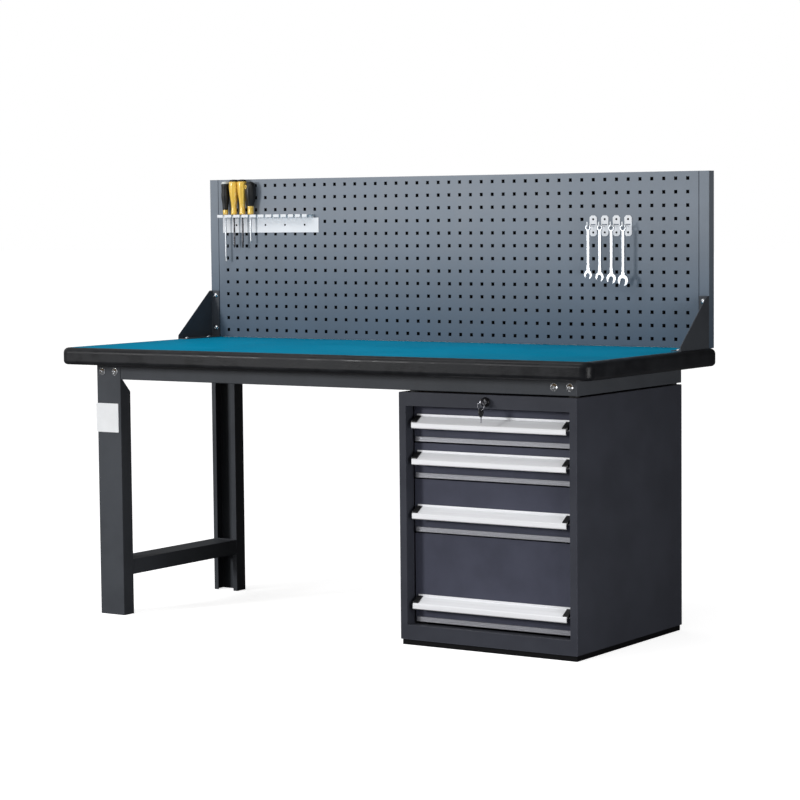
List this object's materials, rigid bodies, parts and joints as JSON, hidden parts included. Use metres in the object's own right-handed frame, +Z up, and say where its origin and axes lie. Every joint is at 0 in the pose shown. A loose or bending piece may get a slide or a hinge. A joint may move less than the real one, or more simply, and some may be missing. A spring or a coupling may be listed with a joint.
{
  "type": "workbench with drawers",
  "caption": "Steel workbench with a teal worktop, a leg frame on one side, a drawer cabinet on the other and a perforated tool panel with a screwdriver rack and hanging wrenches.",
  "frame": {"origin": "floor level, under the middle of the worktop", "axes": "+X to the right towards the drawer cabinet, +Y to the back towards the tool panel, +Z up"},
  "size_m": [1.8, 0.75, 1.3],
  "materials": {
    "board": "particle board core",
    "mat": "teal laminate, satin",
    "edging": "black moulded edge, semi gloss",
    "frame_paint": "charcoal powder coat",
    "cabinet_paint": "charcoal powder coat, fine texture",
    "drawer_paint": "blue grey powder coat",
    "base_paint": "black",
    "panel_paint": "blue grey powder coat",
    "handle_aluminium": "satin anodised",
    "trim_aluminium": "satin anodised",
    "cap_plastic": "black",
    "runner_steel": "zinc plated",
    "bolt_steel": "bright plated",
    "spacer_rubber": "black",
    "white_paint": "white powder coat",
    "label": "blank white plate",
    "lock_black": "black, semi gloss",
    "lock_steel": "plated",
    "key_steel": "nickel plated",
    "tool_steel": "satin chrome",
    "grip": "yellow and black handles"
  },
  "bodies": {
    "bench": {"cabinet_base": "base_paint", "cabinet_front_frame": "cabinet_paint", "cabinet_shell": "cabinet_paint", "cabinet_spacers": "spacer_rubber", "cabinet_uprights": "runner_steel", "drawer_rails_fixed": "runner_steel", "end_beams": "frame_paint", "frame_bolts": "bolt_steel", "front_beam": "frame_paint", "front_leg": "frame_paint", "label_plate": "label", "leg_cross_rail": "frame_paint", "lock_housing": "lock_black", "panel_fasteners": "bolt_steel", "pegboard_brackets": "frame_paint", "pegboard_panel": "panel_paint", "pegboard_posts": "panel_paint", "rear_beam": "frame_paint", "rear_leg": "frame_paint", "screwdriver_handles": "grip", "screwdriver_rack": "white_paint", "screwdriver_shafts": "tool_steel", "worktop_board": "board", "worktop_edging": "edging", "worktop_mat": "mat", "wrench_hooks": "white_paint", "wrenches": "tool_steel"},
    "drawer_1": {"drawer_1_front": "drawer_paint", "drawer_1_box": "drawer_paint", "drawer_1_handle": "handle_aluminium", "drawer_1_handle_caps": "cap_plastic", "drawer_1_trim": "trim_aluminium", "drawer_1_runners": "runner_steel"},
    "drawer_1_middle": {"drawer_1_middle_rails": "runner_steel"},
    "drawer_2": {"drawer_2_front": "drawer_paint", "drawer_2_box": "drawer_paint", "drawer_2_handle": "handle_aluminium", "drawer_2_handle_caps": "cap_plastic", "drawer_2_trim": "trim_aluminium", "drawer_2_runners": "runner_steel"},
    "drawer_2_middle": {"drawer_2_middle_rails": "runner_steel"},
    "drawer_3": {"drawer_3_front": "drawer_paint", "drawer_3_box": "drawer_paint", "drawer_3_handle": "handle_aluminium", "drawer_3_handle_caps": "cap_plastic", "drawer_3_trim": "trim_aluminium", "drawer_3_runners": "runner_steel"},
    "drawer_3_middle": {"drawer_3_middle_rails": "runner_steel"},
    "drawer_4": {"drawer_4_front": "drawer_paint", "drawer_4_box": "drawer_paint", "drawer_4_handle": "handle_aluminium", "drawer_4_handle_caps": "cap_plastic", "drawer_4_trim": "trim_aluminium", "drawer_4_runners": "runner_steel"},
    "drawer_4_middle": {"drawer_4_middle_rails": "runner_steel"},
    "lock_plug": {"lock_barrel": "lock_steel", "lock_key": "key_steel"},
    "spare_key": {"spare_key_on_ring": "key_steel"},
    "lock_link": {"lock_link": "lock_steel"},
    "lock_bar": {"lock_bar": "lock_steel"}
  },
  "joints": [
    {"name": "drawer_1_slide", "type": "slide", "parent": "bench", "child": "drawer_1", "axis": [0, -1, 0], "range_m": [0, 0.48]},
    {"name": "drawer_1_middle_slide", "type": "slide", "parent": "bench", "child": "drawer_1_middle", "axis": [0, -1, 0], "range_m": [0, 0.24]},
    {"name": "drawer_2_slide", "type": "slide", "parent": "bench", "child": "drawer_2", "axis": [0, -1, 0], "range_m": [0, 0.48]},
    {"name": "drawer_2_middle_slide", "type": "slide", "parent": "bench", "child": "drawer_2_middle", "axis": [0, -1, 0], "range_m": [0, 0.24]},
    {"name": "drawer_3_slide", "type": "slide", "parent": "bench", "child": "drawer_3", "axis": [0, -1, 0], "range_m": [0, 0.48]},
    {"name": "drawer_3_middle_slide", "type": "slide", "parent": "bench", "child": "drawer_3_middle", "axis": [0, -1, 0], "range_m": [0, 0.24]},
    {"name": "drawer_4_slide", "type": "slide", "parent": "bench", "child": "drawer_4", "axis": [0, -1, 0], "range_m": [0, 0.48]},
    {"name": "drawer_4_middle_slide", "type": "slide", "parent": "bench", "child": "drawer_4_middle", "axis": [0, -1, 0], "range_m": [0, 0.24]},
    {"name": "lock_turn", "type": "hinge", "parent": "bench", "child": "lock_plug", "pos_m": [0.54, -0.29, 0.681], "axis": [0, -1, 0], "range_deg": [0, 91]},
    {"name": "lock_link_slide", "type": "slide", "parent": "bench", "child": "lock_link", "axis": [1, 0, 0], "range_m": [0, 0.01]},
    {"name": "lock_bar_slide", "type": "slide", "parent": "bench", "child": "lock_bar", "axis": [0, 0, -1], "range_m": [0, 0.0101]},
    {"name": "spare_key_swing", "type": "hinge", "parent": "lock_plug", "child": "spare_key", "pos_m": [0.54, -0.325, 0.681], "axis": [0, 1, 0], "range_deg": [-45, 45]}
  ],
  "couplings": [
    {"joint": "drawer_1_middle_slide", "follows": "drawer_1_slide", "ratio": 0.5},
    {"joint": "drawer_2_middle_slide", "follows": "drawer_2_slide", "ratio": 0.5},
    {"joint": "drawer_3_middle_slide", "follows": "drawer_3_slide", "ratio": 0.5},
    {"joint": "drawer_4_middle_slide", "follows": "drawer_4_slide", "ratio": 0.5},
    {"joint": "lock_turn", "follows": "lock_link_slide", "rad_per_m": 157.08},
    {"joint": "lock_bar_slide", "follows": "lock_link_slide", "ratio": 1}
  ]
}
